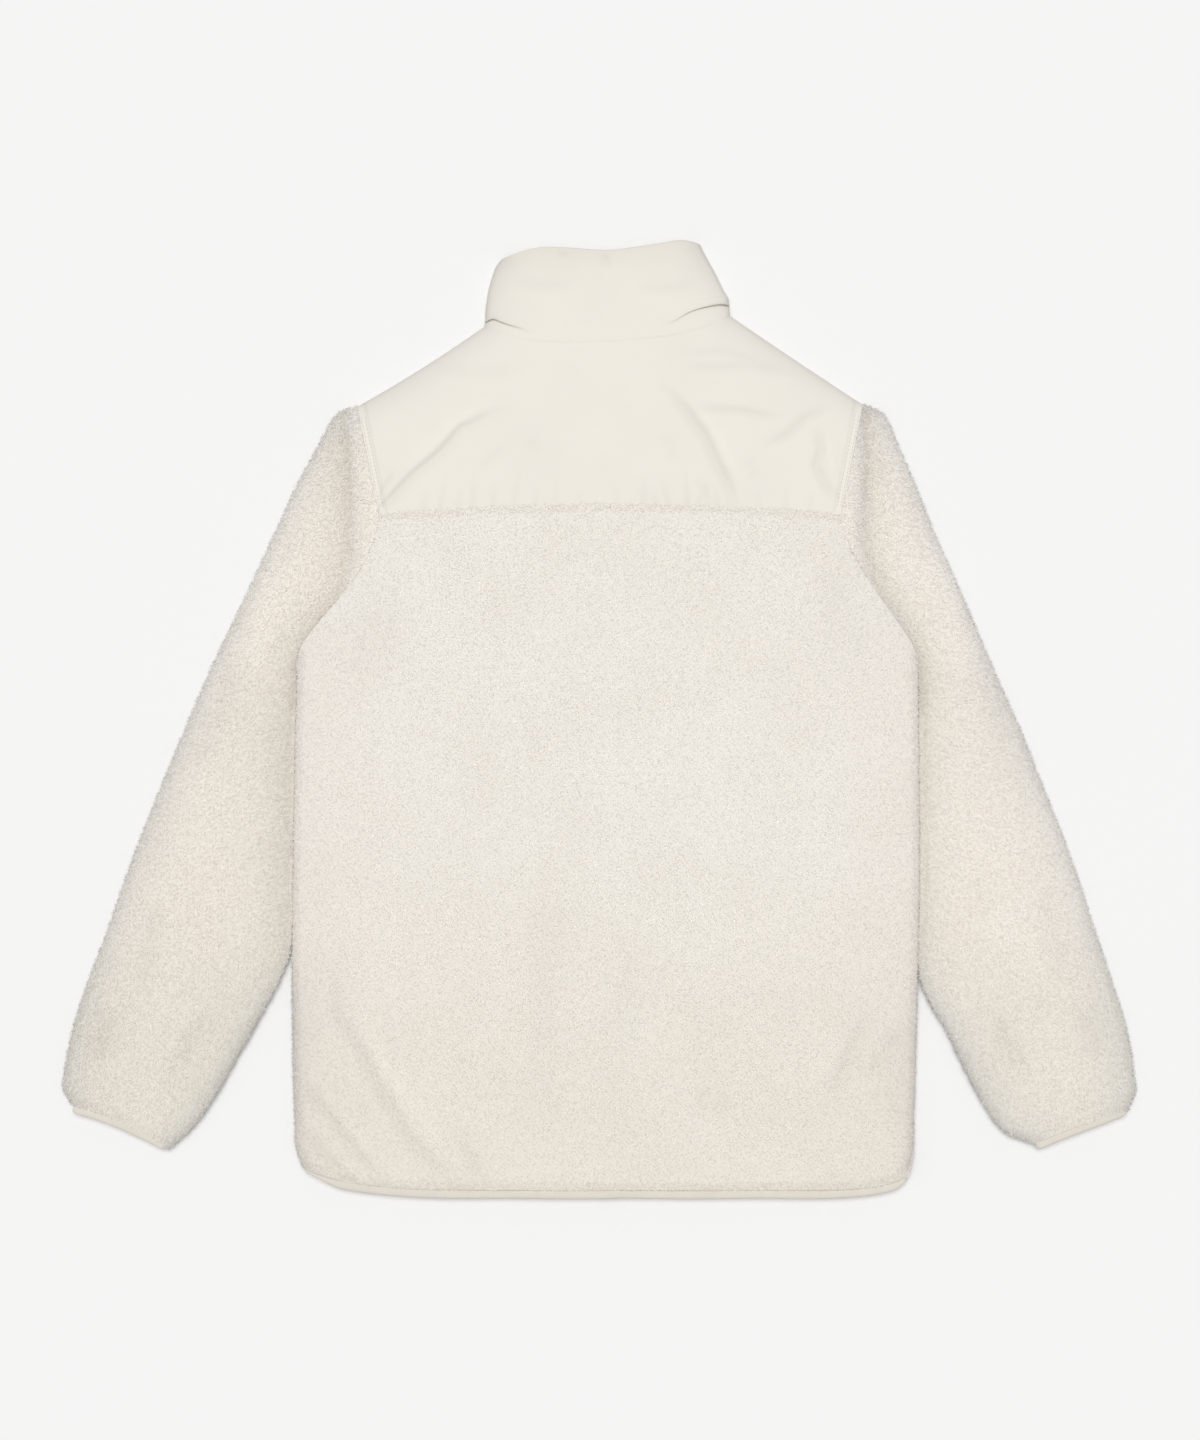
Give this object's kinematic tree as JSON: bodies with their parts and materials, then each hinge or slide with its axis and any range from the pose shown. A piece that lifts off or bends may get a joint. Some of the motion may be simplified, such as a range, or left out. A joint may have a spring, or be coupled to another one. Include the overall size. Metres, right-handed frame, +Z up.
{
  "type": "reversible fleece jacket laid flat",
  "caption": "Long-sleeved fleece jacket laid flat on its front, with a woven yoke and stand collar, bound hem and cuffs, and a front zip underneath.",
  "frame": {"origin": "centre of the footprint, on the surface that the jacket lies on", "axes": "+X across the jacket towards its right sleeve as seen from above, +Y from hem to collar, +Z up from the surface"},
  "size_m": [0.9116, 0.8152, 0.0137],
  "materials": {
    "fleece": "deep cream pile, matt",
    "woven": "smooth plain weave with a faint sheen",
    "binding": "ribbed tape, matt",
    "zip_tape": "woven zip tape",
    "zip_metal": "satin enamel"
  },
  "bodies": {
    "jacket": {"back_panel": "fleece", "back_yoke": "woven", "front_left": "fleece", "front_right": "fleece", "sleeve_left": "fleece", "sleeve_right": "fleece", "collar": "woven", "hem_binding": "binding", "cuff_binding_left": "binding", "cuff_binding_right": "binding", "zip_left": "zip_tape", "zip_right": "zip_tape", "zip_slider": "zip_metal"},
    "tab": {"pull_tab": "zip_metal"}
  },
  "joints": [
    {"name": "tab_swing", "type": "hinge", "parent": "jacket", "child": "tab", "pos_m": [0.00627, 0.32275, 0.0015], "axis": [1, 0, 0], "range_deg": [0, 180]}
  ]
}
